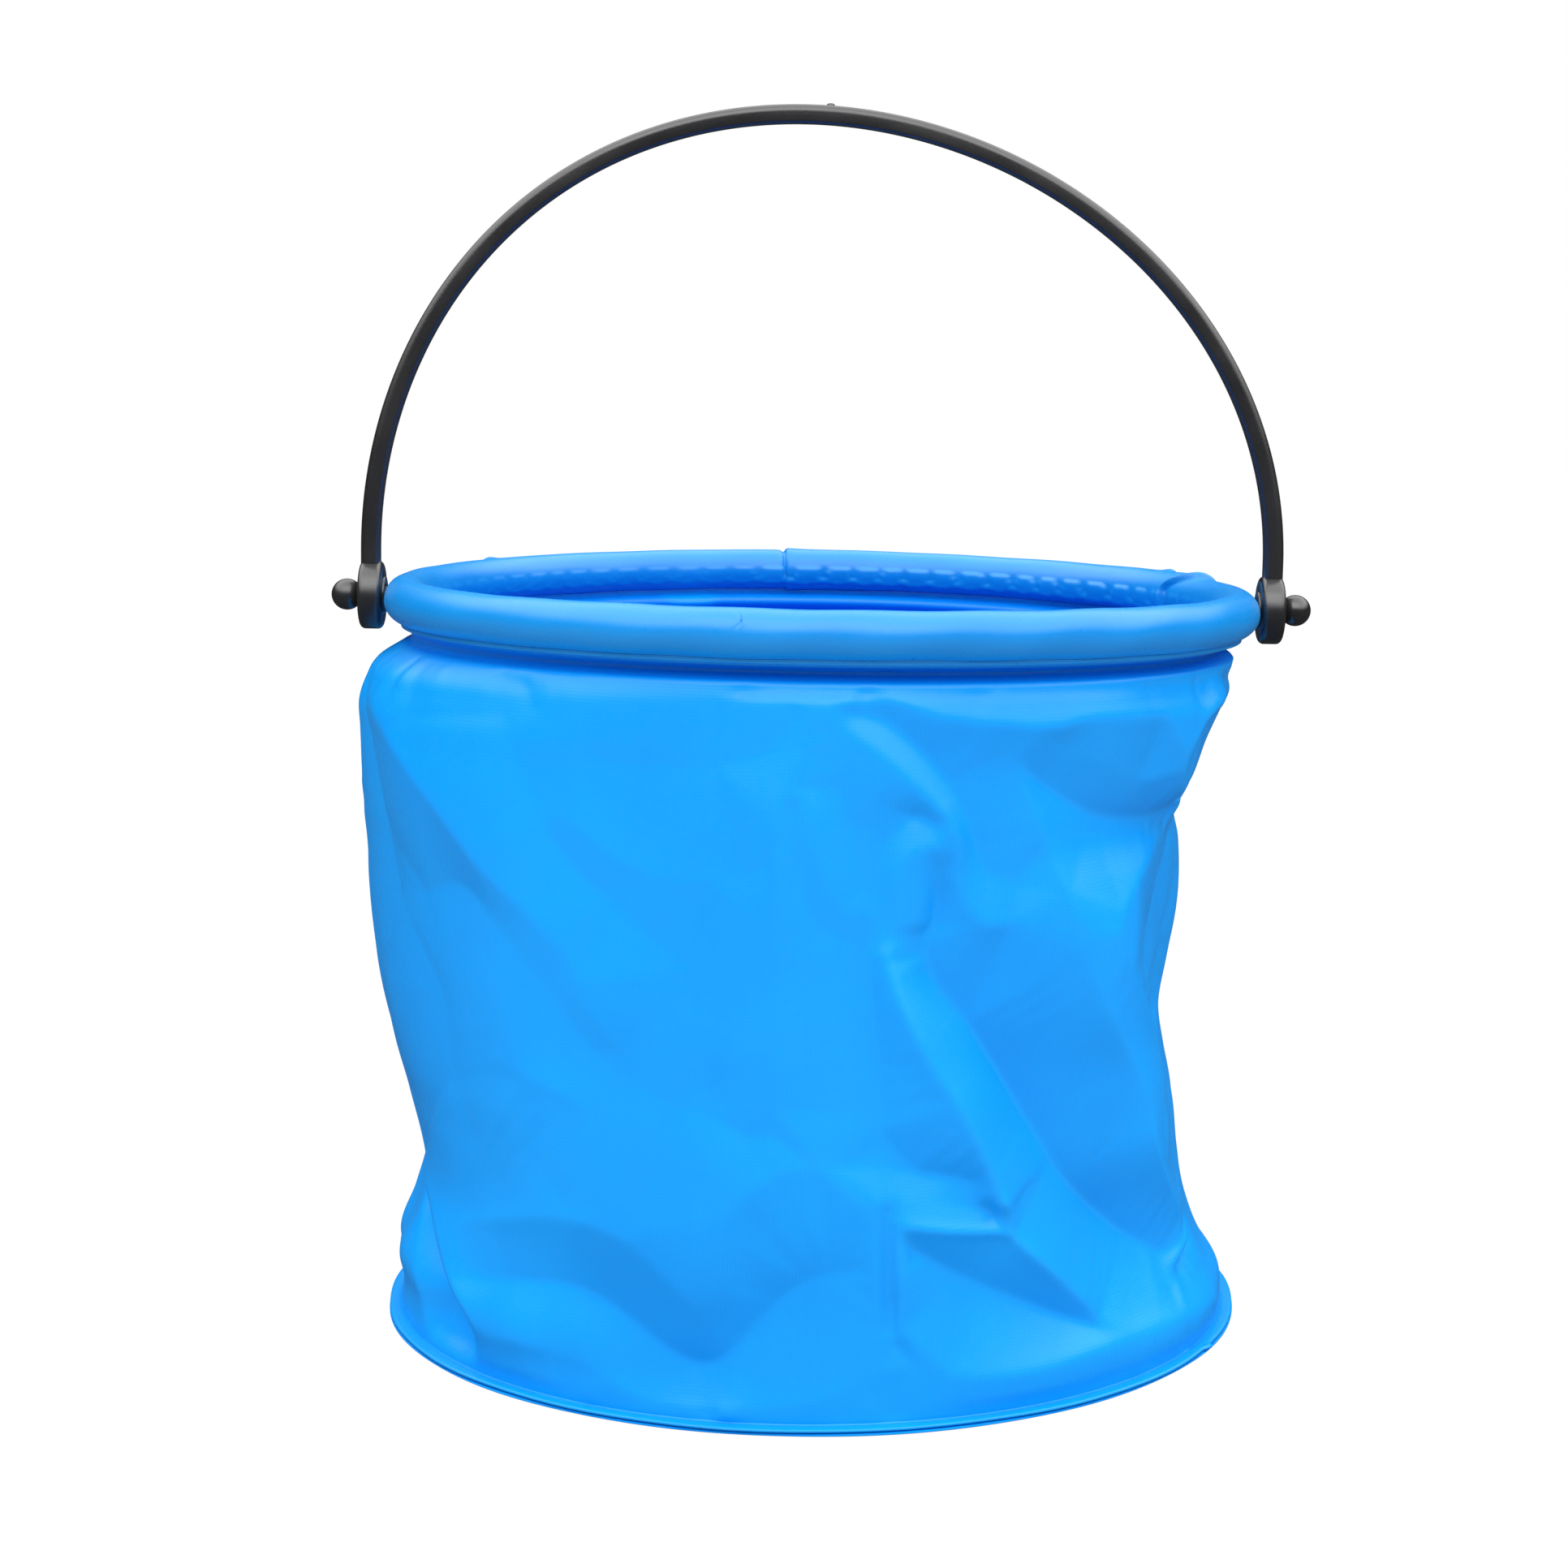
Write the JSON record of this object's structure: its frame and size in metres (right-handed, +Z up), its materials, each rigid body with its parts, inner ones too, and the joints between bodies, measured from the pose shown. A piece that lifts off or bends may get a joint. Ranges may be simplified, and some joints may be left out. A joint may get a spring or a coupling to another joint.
{
  "type": "collapsible bucket",
  "caption": "Soft sheet bucket on a hoop rim that folds down flat, with a black moulded bail that swings on ball-headed pins.",
  "frame": {"origin": "on the floor, right under the middle of the rim", "axes": "+Z up, X along the bail's pivot axis with its left end a little higher, -Y the front in the picture"},
  "size_m": [0.2256, 0.2008, 0.2765],
  "materials": {
    "wall_sheet": "satin",
    "floor_sheet": "satin",
    "rim_sheet": "satin",
    "hoop": "satin",
    "plug": "matte",
    "bail_plastic": "satin",
    "pin_plastic": "satin"
  },
  "bodies": {
    "base": {"floor_panel": "floor_sheet", "body_wall": "wall_sheet"},
    "rim": {"rim_sleeve": "rim_sheet", "rim_tube": "hoop", "tube_joiner": "plug", "pin_anchor_left": "plug", "pin_anchor_right": "plug", "pivot_pin_left": "pin_plastic", "pivot_pin_right": "pin_plastic"},
    "bail": {"bail": "bail_plastic"}
  },
  "joints": [
    {"name": "rim_collapse", "type": "slide", "parent": "base", "child": "rim", "axis": [0, 0, 1], "range_m": [-0.13, 0], "deforming": ["body_wall"]},
    {"name": "bail_swing", "type": "hinge", "parent": "rim", "child": "bail", "pos_m": [0, 0, 0.1639], "axis": [0.9998, 0, -0.0175], "range_deg": [-105, 105]}
  ]
}
